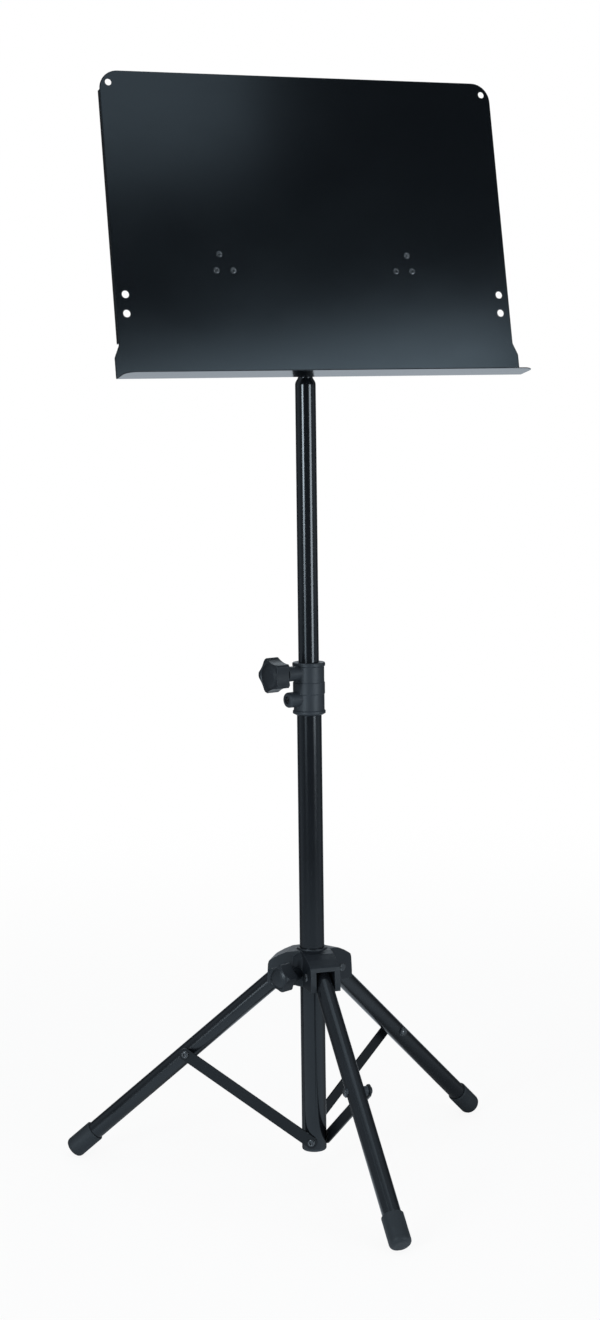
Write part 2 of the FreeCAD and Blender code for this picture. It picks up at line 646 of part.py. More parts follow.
def make_base_rivets():
    """The stubs of the strut rivets, closed over inside the tube's wall."""
    wall_in = "(lower_dia / 2 - lower_wall)"
    return group("base_rivets", [
        turned_piece("base_rivet_%d" % k, [
            (0, wall_in + " - 2.4"), ("pin_dia / 2 + 1", wall_in + " - 2.4"),
            ("pin_dia / 2 + 1", wall_in + " - 0.8"), ("pin_dia / 2", wall_in + " - 0.8"),
            ("pin_dia / 2", "lower_dia / 2"), (0, "lower_dia / 2")],
            strut_axis_place(turn, 0))
        for k, turn in enumerate(leg_turns)])


def make_pole_cap():
    """A plastic plug with a rounded rim that closes the bottom of the lower tube."""
    outside = "(lower_dia / 2)"
    inside = "(lower_dia / 2 - lower_wall)"
    low = "(lower_end - cap_rim)"
    return turned_piece("pole_end_cap", [
        (0, low), (outside + " - 3", low), (outside + " - 1.4", low + " + 0.6"),
        (outside + " - 0.4", low + " + 1.5"), (outside, low + " + 2.8"), (outside, "lower_end"),
        (inside, "lower_end"), (inside, "lower_end + cap_plug"),
        (inside + " - cap_wall", "lower_end + cap_plug"), (inside + " - cap_wall", low + " + cap_wall"),
        (0, low + " + cap_wall")])


def make_collar():
    """The clamping collar: rims, a raised band, a boss for the knob and a lug for its screw."""
    body = new_body("collar")
    foot = "(collar_top - collar_length)"
    side = "collar_dia / 2"
    rim = "collar_rim_dia / 2"
    band = "band_dia / 2"
    revolve(body, "collar_turned", [
        (0, foot), ("lower_dia / 2 + 1.4", foot), (rim, foot + " + 2"),
        (rim, foot + " + collar_base_rim - 1.2"), (side, foot + " + collar_base_rim"),
        (side, foot + " + band_low - 1"), (band, foot + " + band_low"), (band, foot + " + band_high"),
        (side, foot + " + band_high + 1"), (side, "collar_top - collar_rim - 1"),
        (rim, "collar_top - collar_rim"), (rim, "collar_top - 0.8"), (rim + " - 0.8", "collar_top"),
        (0, "collar_top")])
    knob_up = foot + " + collar_knob_height"
    lug_up = foot + " + lug_height"
    boss = new_sketch(body, "boss_outline", "YZ_Plane")
    draw_circle(boss, 0, knob_up, "collar_boss_dia")
    pad(body, "boss", boss, "collar_boss_end")
    lug = new_sketch(body, "lug_outline", "YZ_Plane")
    draw_circle(lug, 0, lug_up, "lug_dia")
    grown = pad(body, "lug", lug, "lug_end")
    tip = val("lug_end")
    fillet(body, "lug_rim", grown, "lug_round",
           lambda e: isinstance(e.Curve, Part.Circle) and abs(e.BoundBox.XMin - tip) < 0.01
           and e.BoundBox.XLength < 0.01)
    recess = new_sketch(body, "recess_outline", "YZ_Plane", "lug_end")
    draw_circle(recess, 0, lug_up, "lug_recess_dia")
    pocket(body, "recess", recess, "lug_recess_depth")
    screw = new_sketch(body, "lug_bore_outline", "YZ_Plane")
    draw_circle(screw, 0, lug_up, "fixing_screw_dia")
    pocket(body, "lug_bore", screw, "lug_end", backwards=True)
    tube_hole = new_sketch(body, "tube_hole_outline", "XY_Plane", foot)
    draw_circle(tube_hole, 0, 0, "lower_dia")
    pocket(body, "tube_hole", tube_hole, "tube_stop", backwards=True)
    slide_hole = new_sketch(body, "slide_hole_outline", "XY_Plane", foot)
    draw_circle(slide_hole, 0, 0, "upper_dia + 2 * slide_gap")
    pocket(body, "slide_hole", slide_hole, "collar_length", backwards=True)
    nest = new_sketch(body, "insert_nest_outline", "YZ_Plane")
    draw_circle(nest, 0, knob_up, "insert_dia")
    pocket(body, "insert_nest", nest, "collar_boss_end", backwards=True)
    body.Placement = about_z(val("collar_turn"))
    return body


def along(turn, height):
    """A place on the pole's axis at a height, with +Z pointing out in a direction."""
    return moved(0, 0, height).multiply(about_z(turn)).multiply(facing(Vector(1, 0, 0)))


def make_insert(name, end, place):
    """A threaded metal sleeve pressed into a boss."""
    start = "%s - insert_length" % end
    bore = "clamp_bolt_dia / 2 + run_gap"
    return turned_piece(name, [
        (bore, start), ("insert_dia / 2", start), ("insert_dia / 2", end), (bore, end)], place)


def make_pad(name, tube, place):
    """A disc at the bolt's tip that presses on the tube."""
    start = "(%s / 2 + pad_clearance)" % tube
    return turned_piece(name, [
        (0, start), ("pad_dia / 2 - 0.6", start), ("pad_dia / 2", start + " + 0.6"),
        ("pad_dia / 2", start + " + pad_thick"), (0, start + " + pad_thick")], place)


def make_knob(name, dia, thick, point, boss_end, place):
    """A star knob with five points, hollowed sides, and a dome inside a raised edge."""
    body = new_body(name)
    rim = "%s / 2" % dia
    neck = "(%s + knob_gap)" % boss_end
    back = "(%s + knob_gap + knob_neck_length)" % boss_end
    face = [(rim, "knob_side"), ("0.96 * " + rim, "0.87"), ("0.88 * " + rim, "0.91"), ("0.74 * " + rim, "0.91"),
            ("0.69 * " + rim, "0.86"), ("0.64 * " + rim, "0.88"), ("0.52 * " + rim, "0.94"),
            ("0.36 * " + rim, "0.98"), ("0.18 * " + rim, "0.995"), (0, "1")]
    revolve(body, name + "_turned", [
        (0, neck), ("knob_neck_dia / 2", neck), ("knob_neck_dia / 2", back), (rim + " - knob_edge", back),
        (rim, back + " + knob_edge")]
        + [(radius, "%s + %s * %s" % (back, share, thick)) for radius, share in face])
    side = new_sketch(body, name + "_scallop_outline", "XY_Plane", back + " - 0.5")
    # The sides between the points are hollowed by a large circle, half a turn of the star from a point.
    angle = math.radians((val(point) + 36) % 72)
    reach = "2.4 * " + rim
    draw_circle(side, "%s * %.6f" % (reach, math.cos(angle)), "%s * %.6f" % (reach, math.sin(angle)),
                "3.28 * " + rim)
    scallop = pocket(body, name + "_scallop", side, thick + " + 2", backwards=True)
    star = polar(body, name + "_star", [scallop], 5)
    straight = val("knob_side") * val(thick) - val("knob_edge")
    fillet(body, name + "_points", star, "0.1 * " + rim,
           lambda e: abs(e.BoundBox.ZLength - straight) < 0.3
           and e.BoundBox.XLength < 0.05 and e.BoundBox.YLength < 0.05)
    bore = new_sketch(body, name + "_bolt_outline", "XY_Plane", neck)
    draw_circle(bore, 0, 0, "clamp_bolt_dia")
    pocket(body, name + "_bolt_hole", bore, "knob_neck_length + 0.5 * " + thick, backwards=True)
    body.Placement = place
    return body


def make_clamp_bolt(name, tube, thick, boss_end, place):
    """The knob's bolt, from the pressure pad to inside the knob."""
    tip = "(%s / 2 + pad_clearance + pad_thick)" % tube
    end = "(%s + knob_gap + knob_neck_length + 0.5 * %s)" % (boss_end, thick)
    return turned_piece(name, [
        (0, tip), ("clamp_bolt_dia / 2 - 1", tip), ("clamp_bolt_dia / 2", tip + " + 1"),
        ("clamp_bolt_dia / 2", end), (0, end)], place)


def make_collar_screw():
    """The screw in the lug that fixes the collar to the lower tube."""
    head = "(lug_end - lug_recess_depth)"
    return turned_piece("collar_screw", [
        (0, "lower_dia / 2 - lower_wall"), ("fixing_screw_dia / 2", "lower_dia / 2 - lower_wall"),
        ("fixing_screw_dia / 2", head), ("lug_recess_dia / 2 - 0.2", head),
        ("lug_recess_dia / 2 - 0.2", head + " + 1.8"), ("lug_recess_dia / 2 - 1.2", head + " + 2.8"),
        ("1.5", head + " + 2.8"), ("1.5", head + " + 0.8"), (0, head + " + 0.8")],
        along(val("collar_turn"), collar_foot + val("lug_height")))


node(make_lower_tube())
node(make_base_rivets())
node(make_pole_cap())
node(make_collar())
node(make_collar_screw())
collar_line = along(val("collar_turn"), collar_foot + val("collar_knob_height"))
node(make_insert("collar_insert", "collar_boss_end", collar_line))
node(make_pad("collar_pad", "upper_dia", collar_line))
node(make_knob("collar_knob", "collar_knob_dia", "collar_knob_thick", "collar_knob_point",
               "collar_boss_end", collar_line))
node(make_clamp_bolt("collar_knob_bolt", "upper_dia", "collar_knob_thick", "collar_boss_end", collar_line))


# ---------------------------------------------------------------- leg hub

SLOT_WIDTH = "(leg_dia + 2 * leg_side_gap)"
SLOT_ROOF = " + pin_height + leg_dia / 2 - slot_drop"
ARM_WIDTH = "(leg_dia + 2 * leg_side_gap + 2 * cheek)"

def make_hub():
    """A moulded hub with three leg sockets, open below, round a core that slides on the pole."""
    body = new_body("hub")
    foot = "hub_foot"
    top = "(hub_foot + hub_height)"
    core = "hub_core_dia / 2"
    lip = "hub_lip_dia / 2"
    revolve(body, "hub_core", [
        (0, foot), (core + " - 1.5", foot), (core, foot + " + 1.5"), (core, top + " - 0.2 * hub_height"),
        (core + " - 4", top + " - 0.09 * hub_height"), (lip + " + 1.2", top + " - 1.6"),
        (lip + " + 0.6", top), (0, top)])
    arm = new_sketch(body, "arm_outline")
    edge = "(hub_foot + arm_edge)"
    draw_outline(arm, [
        (0, foot), ("arm_reach + 1", foot), ("arm_reach + 1", foot + " + 0.3 * arm_edge"),
        ("arm_reach", edge + " - 5"), ("arm_reach - 1.2", edge + " - 1.2"), ("arm_reach - 4", edge + " + 1"),
        ("0.75 * arm_reach", edge + " + 0.42 * (hub_height - arm_edge)"),
        ("0.55 * arm_reach", edge + " + 0.74 * (hub_height - arm_edge)"),
        (lip, top + " - 2"), (0, top + " - 2")])
    grown = pad(body, "arm", arm, ARM_WIDTH, both_ways=True)
    polar(body, "arms", [grown])
    boss = new_sketch(body, "hub_boss_outline", "YZ_Plane")
    draw_circle(boss, 0, foot + " + hub_knob_height", "hub_boss_dia")
    pad(body, "hub_boss", boss, "hub_boss_end", backwards=True)
    gap = new_sketch(body, "slot_outline")
    draw_outline(gap, [
        ("lower_dia / 2 + slot_back", foot + " - 5"), ("arm_reach + 10", foot + " - 5"),
        ("arm_reach + 10", foot + SLOT_ROOF), ("arm_reach - 2", foot + SLOT_ROOF),
        ("0.7 * arm_reach", foot + SLOT_ROOF + " + 0.35 * (hub_height - arm_edge)"),
        ("lower_dia / 2 + slot_back", foot + SLOT_ROOF + " + 0.7 * (hub_height - arm_edge)")])
    slot = pocket(body, "slot", gap, SLOT_WIDTH, both_ways=True)
    polar(body, "slots", [slot])
    pin = new_sketch(body, "pin_hole_outline")
    draw_circle(pin, "pin_reach", foot + " + pin_height", "pin_dia")
    pin_hole = pocket(body, "pin_hole", pin, "2 * " + ARM_WIDTH, both_ways=True)
    polar(body, "pin_holes", [pin_hole])
    nest = new_sketch(body, "hub_nest_outline", "YZ_Plane")
    draw_circle(nest, 0, foot + " + hub_knob_height", "insert_dia")
    pocket(body, "hub_nest", nest, "hub_boss_end")
    bore = new_sketch(body, "hub_bore_outline", "XY_Plane", foot)
    draw_circle(bore, 0, 0, "lower_dia + 2 * slide_gap")
    pocket(body, "hub_bore", bore, "hub_height", backwards=True)
    body.Placement = about_z(val("base_turn"))
    return body


def leg_frame(turn):
    """The frame of one leg: X outward from the pole, Y to the strut's side, origin at its pin."""
    return about_z(turn).multiply(moved(val("pin_reach"), 0, pin_z))


def make_leg_pins():
    """Three headed pins, each through both cheeks of a socket and its leg."""
    half = "(%s / 2)" % ARM_WIDTH
    rod = "(pin_dia / 2)"
    head = "(pin_head_dia / 2)"
    return group("leg_pins", [
        turned_piece("leg_pin_%d" % k, [
            (0, "-%s - pin_head_thick" % half), (head + " - 1", "-%s - pin_head_thick" % half),
            (head, "-%s - 0.4 * pin_head_thick" % half), (head, "-" + half), (rod, "-" + half),
            (rod, half), (head, half), (head, half + " + 0.4 * pin_head_thick"),
            (head + " - 1", half + " + pin_head_thick"), (0, half + " + pin_head_thick")],
            leg_frame(turn).multiply(facing(Vector(0, 1, 0))))
        for k, turn in enumerate(leg_turns)])


node(make_hub())
node(make_leg_pins())
hub_line = along(val("base_turn") + 180, val("hub_foot") + val("hub_knob_height"))
node(make_insert("hub_insert", "hub_boss_end", hub_line))
node(make_pad("hub_pad", "lower_dia", hub_line))
node(make_knob("hub_knob", "hub_knob_dia", "hub_knob_thick", "hub_knob_point",
               "hub_boss_end", hub_line))
node(make_clamp_bolt("hub_knob_bolt", "lower_dia", "hub_knob_thick", "hub_boss_end", hub_line))


# ---------------------------------------------------------------- legs and struts

# Along a leg, its own Z axis runs from the pin to the foot.
LEAN = Placement(Vector(), Rotation(Vector(0, 1, 0), 90 + math.degrees(leg_angle)))


def make_leg(name, frame):
    """A steel tube with a pin hole near its top and a rivet hole for its strut."""
    body = new_body("leg_" + name)
    outside = "leg_dia / 2"
    inside = "leg_dia / 2 - leg_wall"
    end = "leg_length - cap_end"
    revolve(body, "leg_%s_turned" % name, [
        (inside, "-leg_tail"), (outside, "-leg_tail"), (outside, end), (inside, end)])
    holes = new_sketch(body, "leg_%s_holes" % name)
    draw_circle(holes, 0, 0, "pin_dia + 2 * run_gap")
    draw_circle(holes, 0, "strut_place", "pin_dia")
    pocket(body, "leg_%s_bores" % name, holes, "2 * leg_dia", both_ways=True)
    body.Placement = frame.multiply(LEAN)
    return body


def make_foot_cap(name, frame):
    """A rubber cap pushed over the leg's end, with a flat where it stands on the floor."""
    rim = "(leg_dia / 2 + rubber_wall)"
    round_in = "cap_round"
    points = [("leg_dia / 2", "leg_length - cap_length"), (rim + " - 0.8", "leg_length - cap_length"),
              (rim, "leg_length - cap_length + 0.8")]
    for step in range(5):
        turn = math.radians(90 * step / 4)
        points.append(("%s - %s * %.5f" % (rim, round_in, 1 - math.cos(turn)),
                       "leg_length - %s * %.5f" % (round_in, 1 - math.sin(turn))))
    points += [(0, "leg_length"), (0, "leg_length - cap_end"), ("leg_dia / 2", "leg_length - cap_end")]
    whole = turned_piece("cap_%s_whole" % name, points, frame.multiply(LEAN))
    floor = doc.addObject("Part::Box", "floor_" + name)
    side = 4 * val("leg_length")
    bind(floor, "Length", "4 * leg_length")
    bind(floor, "Width", "4 * leg_length")
    bind(floor, "Height", "leg_dia")
    floor.Placement = moved(-side / 2, -side / 2, -val("leg_dia"))
    return cut("foot_cap_" + name, whole, [floor])


def make_leg_rivet(name, frame):
    """The rivet through a leg, its far-side spacer and its strut."""
    far = "(leg_dia / 2 + spacer_rise)"
    out = "(lower_dia / 2 + strut_gap + strut_thick + flat_gap)"
    rod = "(pin_dia / 2)"
    head = "(joint_head_dia / 2)"
    hollow = "(joint_hollow_dia / 2)"
    place = frame.multiply(LEAN).multiply(moved(0, 0, val("strut_place"))).multiply(facing(Vector(0, 1, 0)))
    return turned_piece("leg_rivet_" + name, [
        (0, "-%s - joint_head_thick" % far), (head + " - 2", "-%s - joint_head_thick" % far),
        (head + " - 0.6", "-%s - 0.7 * joint_head_thick" % far), (head, "-%s - 0.2 * joint_head_thick" % far),
        (head, "-" + far), (rod, "-" + far), (rod, out), (head, out),
        (head, out + " + 0.3 * joint_head_thick"),
        (head + " - 0.7", out + " + 0.85 * joint_head_thick"), (head + " - 1.4", out + " + joint_head_thick"),
        (hollow + " + 0.4", out + " + joint_head_thick"), (hollow, out + " + 0.7 * joint_head_thick"),
        (hollow, out + " - 0.5"), (0, out + " - 0.5")], place)


def make_spacers(name, frame):
    """Two saddle washers on the leg, under the rivet's far head and under the strut."""
    place = frame.multiply(LEAN).multiply(moved(0, 0, val("strut_place")))
    shell = cylinder("saddle_bore_" + name, "leg_dia / 2", "2 * spacer_dia",
                     place.multiply(moved(0, 0, -val("spacer_dia"))))
    rings = []
    for side, direction, rise in (("near", 1, "lower_dia / 2 + strut_gap - flat_gap"),
                                  ("far", -1, "leg_dia / 2 + spacer_rise")):
        ring = turned_piece("saddle_%s_%s" % (name, side), [
            ("pin_dia / 2", "leg_dia / 2 - 3"), ("spacer_dia / 2", "leg_dia / 2 - 3"),
            ("spacer_dia / 2", rise), ("pin_dia / 2", rise)],
            place.multiply(facing(Vector(0, direction, 0))))
        rings.append(cut("saddle_cut_%s_%s" % (name, side), ring, [shell]))
    return group("strut_spacers_" + name, rings)


def strut_frame(frame):
    """At a strut's upper pivot, +Z running down the strut to the pole's foot."""
    upper = frame.multiply(moved(joint_r - val("pin_reach"), 0, joint_z - pin_z))
    return upper.multiply(Placement(Vector(), Rotation(Vector(0, 1, 0), 270 - math.degrees(strut_angle))))


def make_strut(name, frame):
    """A flat bar with round ends and a hole at each."""
    bar = doc.addObject("Part::Box", "strut_bar_" + name)
    start = strut_frame(frame)
    bind(bar, "Length", "strut_width")
    bind(bar, "Width", "strut_thick")
    bar.Height = strut_length
    bar.Placement = start.multiply(moved(-val("strut_width") / 2, strut_face, 0))
    ends = []
    bores = []
    for end, distance in (("top", 0), ("foot", strut_length)):
        seat = start.multiply(moved(0, strut_face, distance)).multiply(facing(Vector(0, 1, 0)))
        ends.append(cylinder("strut_%s_%s" % (end, name), "strut_width / 2", "strut_thick", seat))
        bores.append(cylinder("strut_bore_%s_%s" % (end, name), "pin_dia / 2 + run_gap", "strut_thick", seat))
    whole = doc.addObject("Part::MultiFuse", "strut_whole_" + name)
    whole.Shapes = [bar] + ends
    return cut("strut_" + name, whole, bores)


def make_strut_rivet(name, frame):
    """The outer end of the rivet that joins a strut to the pole's foot."""
    face = "(lower_dia / 2 + strut_gap)"
    out = "(lower_dia / 2 + strut_gap + strut_thick)"
    rod = "(pin_dia / 2 + run_gap)"
    head = "(joint_head_dia / 2)"
    hollow = "(joint_hollow_dia / 2)"
    place = strut_frame(frame).multiply(moved(0, 0, strut_length)).multiply(facing(Vector(0, 1, 0)))
    return turned_piece("strut_rivet_" + name, [
        (0, face), (rod, face), (rod, out), (head, out), (head, out + " + 0.3 * joint_head_thick"),
        (head + " - 0.7", out + " + 0.85 * joint_head_thick"), (head + " - 1.4", out + " + joint_head_thick"),
        (hollow + " + 0.4", out + " + joint_head_thick"), (hollow, out + " + 0.7 * joint_head_thick"),
        (hollow, out + " - 0.5"), (0, out + " - 0.5")], place)


for name, turn in zip(LEG_NAMES, leg_turns):
    frame = leg_frame(turn)
    node(make_leg(name, frame))
    node(make_foot_cap(name, frame))
    node(make_leg_rivet(name, frame))
    node(make_spacers(name, frame))
    node(make_strut(name, frame))
    node(make_strut_rivet(name, frame))


# ---------------------------------------------------------------- check and write

doc.recompute()
for thing in doc.Objects:
    faults = [word for word in thing.State if word in ("Invalid", "Error")]
    assert not faults, "%s is %s" % (thing.Label, faults)
os.makedirs("parts", exist_ok=True)
for piece in nodes:
    shape = piece.Shape
    assert not shape.isNull() and shape.isValid(), piece.Label + " has no valid shape"
    shape.exportStep(os.path.join("parts", piece.Label + ".step"))
    box = shape.BoundBox
    print("%-18s solids %d  volume %9.0f  z %.1f to %.1f" % (
        piece.Label, len(shape.Solids), shape.Volume, box.ZMin, box.ZMax))
print("leg angle %.3f  strut length %.3f  strut angle %.3f  tilt axis %.3f" % (
    math.degrees(leg_angle), strut_length, math.degrees(strut_angle), axis_z))
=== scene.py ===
# %% [markdown]
# # Orchestra music stand
# The stand is a folded sheet of steel on a telescopic pole, with three legs that fold up along it.
# Its metal and plastic pieces come from the CAD model and keep their places. This lesson gives them
# the finishes that such a stand leaves the works with: satin powder coat on the desk, gloss paint
# on the tubes, moulded nylon at the clamps and rubber on the feet.

import json
import math

import bpy
from mathutils import Matrix, Vector

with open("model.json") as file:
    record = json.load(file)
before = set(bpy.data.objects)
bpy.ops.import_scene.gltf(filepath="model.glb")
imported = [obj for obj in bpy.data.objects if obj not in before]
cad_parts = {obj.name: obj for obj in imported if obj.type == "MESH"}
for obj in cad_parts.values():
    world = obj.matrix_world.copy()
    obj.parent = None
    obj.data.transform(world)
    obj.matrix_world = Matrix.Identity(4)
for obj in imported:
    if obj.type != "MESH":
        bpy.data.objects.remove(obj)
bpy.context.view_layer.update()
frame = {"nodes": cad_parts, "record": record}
nodes = frame["nodes"]

# %% [markdown]
# ## Wiring
# A finish is a small network of nodes: each node works out a value or a colour and hands it on
# through a link. It could be drawn by hand in the shader editor, but written down it comes out the
# same each time and can be used again for the next piece. These few functions do what the hand does
# there: put down a node, and feed each of its sockets with a link, a number or a colour.

# %% Wiring
class Wiring:
    """The nodes of one material, or of the world."""

    def __init__(self, tree):
        self.tree = tree

    def add(self, kind, **settings):
        made = self.tree.nodes.new(kind)
        for key, value in settings.items():
            setattr(made, key, value)
        return made

    def feed(self, socket, value):
        """Link a socket to another node's output, or set it to a number or a colour."""
        if isinstance(value, bpy.types.NodeSocket):
            self.tree.links.new(value, socket)
        else:
            socket.default_value = (*value, 1) if socket.type == "RGBA" else value

    def fill(self, node, **inputs):
        """Feed a node's sockets by name, with _ for a space."""
        for name, value in inputs.items():
            self.feed(node.inputs[name.replace("_", " ")], value)

print("wiring ready")

# %% [markdown]
# ## Sums and mixtures
# A noise is only a value from 0 to 1. To become a shade or a shine it is stretched, multiplied by
# another, or used to mix two colours. Blender has one node for each of these jobs, so each gets a
# short function here that makes the node and hands back its result.

# %% Sums and mixtures
class Recipe(Wiring):
    """Wiring that works out values, colours and shaders from others."""

    def math(self, operation, first, second):
        node = self.add("ShaderNodeMath", operation=operation, use_clamp=operation != "SUBTRACT")
        self.feed(node.inputs[0], first)
        self.feed(node.inputs[1], second)
        return node.outputs["Value"]

    def weigh(self, first, second, first_share):
        """Mix two values: a share of the first, and the second for the rest."""
        return self.math("ADD", self.math("MULTIPLY", first, first_share),
                         self.math("MULTIPLY", second, 1 - first_share))

    def spread(self, source, low, high, from_low=0.3, from_high=0.7, curve="LINEAR"):
        """Stretch a value to go from low to high. Most of a noise lies from 0.3 to 0.7."""
        node = self.add("ShaderNodeMapRange", interpolation_type=curve)
        self.fill(node, Value=source, From_Min=from_low, From_Max=from_high, To_Min=low, To_Max=high)
        return node.outputs["Result"]

    def ease(self, source, start, end, low, high):
        """Go softly from low to high while the source goes from start to end."""
        return self.spread(source, low, high, start, end, curve="SMOOTHSTEP")

    def blend(self, amount, first, second):
        """Mix two colours by an amount from 0 to 1."""
        node = self.add("ShaderNodeMix", data_type="RGBA")
        self.fill(node, Factor=amount)
        colours = [socket for socket in node.inputs if socket.type == "RGBA"]
        for socket, colour in zip(colours, (first, second)):
            self.feed(socket, colour)
        return [socket for socket in node.outputs if socket.type == "RGBA"][0]

    def vector(self, operation, *inputs):
        node = self.add("ShaderNodeVectorMath", operation=operation)
        for socket, value in zip(node.inputs, inputs):
            self.feed(socket, value)
        return node.outputs["Vector" if operation == "NORMALIZE" else "Value"]

    def mix_shaders(self, amount, first, second):
        node = self.add("ShaderNodeMixShader")
        for socket, value in zip(node.inputs, (amount, first, second)):
            self.feed(socket, value)
        return node.outputs["Shader"]

print("sums and mixtures ready")

# %% [markdown]
# ## A finish
# Every finish here needs the same few things: a fine grain that catches the light, slow patches where
# hands and cloths have changed the shine, and edges where the coat is thin. The grain is laid out in
# metres on the piece itself, so it has its real size on large and small pieces alike. The edges are
# found by rounding them in thought: where the rounded surface points another way than the true one,
# there is an edge. This costs no geometry, and the mesh keeps the size that the CAD model gave it.

# %% A finish
finish_of_slot = {}
bevel_samples = 6

class Finish(Recipe):
    """A material, kept under the name of its slot, and the means to wire it up."""

    def __init__(self, slot):
        self.material = bpy.data.materials.new(slot + "_finish")
        finish_of_slot[slot] = self.material
        self.material.use_nodes = True
        super().__init__(self.material.node_tree)
        self.shader = self.tree.nodes["Principled BSDF"]
        self.place = self.add("ShaderNodeTexCoord").outputs["Object"]

    def noise(self, scale, detail=2.0, stretch=(1, 1, 1), roughness=0.5):
        """Noise with about scale bumps to the metre; stretch packs it along an axis."""
        mapping = self.add("ShaderNodeMapping")
        self.fill(mapping, Vector=self.place, Scale=stretch)
        texture = self.add("ShaderNodeTexNoise")
        self.fill(texture, Vector=mapping.outputs["Vector"],
                  Scale=scale, Detail=detail, Roughness=roughness)
        return texture.outputs["Fac"]

    def rounded(self, radius):
        """Where the surface would point if its sharp edges had this radius."""
        soft = self.add("ShaderNodeBevel", samples=bevel_samples)
        self.fill(soft, Radius=radius)
        return soft.outputs["Normal"]

    def edge(self, radius):
        """1 on sharp edges within a radius, 0 on flat faces."""
        true_normal = self.add("ShaderNodeNewGeometry").outputs["Normal"]
        likeness = self.vector("DOT_PRODUCT", self.rounded(radius), true_normal)
        return self.spread(likeness, low=1.0, high=0.0, from_low=0.80, from_high=0.985)

    def grain(self, height, depth, strength, round_edges=0.0):
        """Bump from a height of 0 to 1 that stands for depth metres."""
        bump = self.add("ShaderNodeBump")
        self.fill(bump, Height=height, Distance=depth, Strength=strength)
        if round_edges:
            self.fill(bump, Normal=self.rounded(round_edges))
        self.fill(self.shader, Normal=bump.outputs["Normal"])

def shade(colour, times):
    return tuple(channel * times for channel in colour)

print("finish helpers ready")

# %% [markdown]
# ## Powder coat
# The desk is powder coated: dry paint is dusted on the steel and baked, and it sets as a satin skin
# with fine close grain, like very fine leather. A picture of such a skin would only fit one size of
# sheet, so two noises make it: one for the grain and a slower one for the slight orange peel under it.
# Where pages and fingers rub, the satin is a little shinier, and on the cut edges the coat is thin.
# The black has a little blue in it, which also tints what it reflects. The brackets behind the desk
# get the same coat, coarser and duller.

# %% Desk paint
coat_grain, orange_peel, rubbed_patches = 1500, 260, 7  # bumps to the metre
thin_edge, soft_edge = 0.0006, 0.0004  # metres
blue_sheen = (0.73, 0.89, 1.0)

def powder_coat(name, base, pale_edge, rough_low, rough_high, grain_depth):
    coat = Finish(name)
    grain = coat.noise(coat_grain, detail=3.0)
    peel = coat.noise(orange_peel, detail=1.0)
    rubbed = coat.noise(rubbed_patches, detail=4.0, stretch=(1, 1, 1.6), roughness=0.6)
    tone = coat.blend(coat.spread(rubbed, low=0.0, high=1.0), base, shade(base, times=1.25))
    bare = coat.math("MULTIPLY", coat.edge(thin_edge), coat.spread(grain, low=0.1, high=0.9))
    shine = coat.spread(coat.weigh(rubbed, grain, first_share=0.7), low=rough_high, high=rough_low)
    coat.fill(coat.shader, Base_Color=coat.blend(bare, tone, pale_edge), Roughness=shine,
              Specular_Tint=blue_sheen)
    height = coat.weigh(grain, peel, first_share=0.45)
    coat.grain(height, grain_depth, strength=0.8, round_edges=soft_edge)

powder_coat("desk_steel", base=(0.0013, 0.0017, 0.0024), pale_edge=(0.020, 0.022, 0.025),
            rough_low=0.12, rough_high=0.165, grain_depth=0.000004)
powder_coat("bracket_steel", base=(0.0032, 0.0040, 0.0050), pale_edge=(0.022, 0.023, 0.026),
            rough_low=0.34, rough_high=0.42, grain_depth=0.000015)
print("powder coats:", list(finish_of_slot))

# %% [markdown]
# ## Gloss paint
# The tubes are wet painted and stoved, so they are much glossier than the desk. What shows on them
# is long thin reflections of the lamps. Very slow waves in the paint make those lines waver a little.
# Rubbing of a cloth and of the tubes in each other leaves faint lengthwise hairlines: noise that is
# drawn out along the tube gives them. The legs and the struts get the same paint, thinner and
# rougher, and without the hairlines, because nothing slides on them.

# %% Tube paint
hairlines, smears, waves, dust_specks = 2200, 22, 90, 3500  # to the metre
chipped_edge = 0.0005  # metres
dust_grey, bare_grey = (0.05, 0.05, 0.05), (0.03, 0.032, 0.034)
dust_cover, chip_cover = 0.25, 0.5
cold_sheen = (0.82, 0.93, 1.0)

def gloss_paint(name, base, rough_low, rough_high, ripple, along=(1, 1, 0.02), specular=0.5):
    paint = Finish(name)
    hairline = paint.noise(hairlines, detail=1.0, stretch=along)
    smear = paint.noise(smears, detail=3.0, stretch=(1, 1, 0.5))
    wave = paint.noise(waves, detail=1.0)
    dust = paint.noise(dust_specks, detail=1.0)
    speck = paint.spread(dust, low=0.0, high=1.0, from_low=0.70, from_high=0.78)
    tone = paint.blend(paint.spread(smear, low=0.0, high=1.0), base, shade(base, times=1.5))
    dusty = paint.blend(paint.math("MULTIPLY", speck, dust_cover), tone, dust_grey)
    chipped = paint.math("MULTIPLY", paint.edge(chipped_edge), chip_cover)
    shine = paint.spread(paint.weigh(smear, hairline, first_share=0.75), rough_low, rough_high)
    paint.fill(paint.shader, Base_Color=paint.blend(chipped, dusty, bare_grey), Roughness=shine,
               Specular_IOR_Level=specular, Specular_Tint=cold_sheen)
    paint.grain(paint.weigh(wave, hairline, first_share=0.85), ripple, strength=0.7)

gloss_paint("tube_gloss", base=(0.0036, 0.0044, 0.0058), rough_low=0.14, rough_high=0.19, ripple=0.000001)
gloss_paint("leg_gloss", base=(0.0042, 0.0052, 0.0068), rough_low=0.20, rough_high=0.28,
            ripple=0.000004, along=(0.3, 0.3, 0.3))
gloss_paint("strut_steel", base=(0.0034, 0.0042, 0.0054), rough_low=0.30, rough_high=0.40,
            ripple=0.000006, along=(0.4, 0.4, 0.4), specular=0.28)
print("paints so far:", list(finish_of_slot))
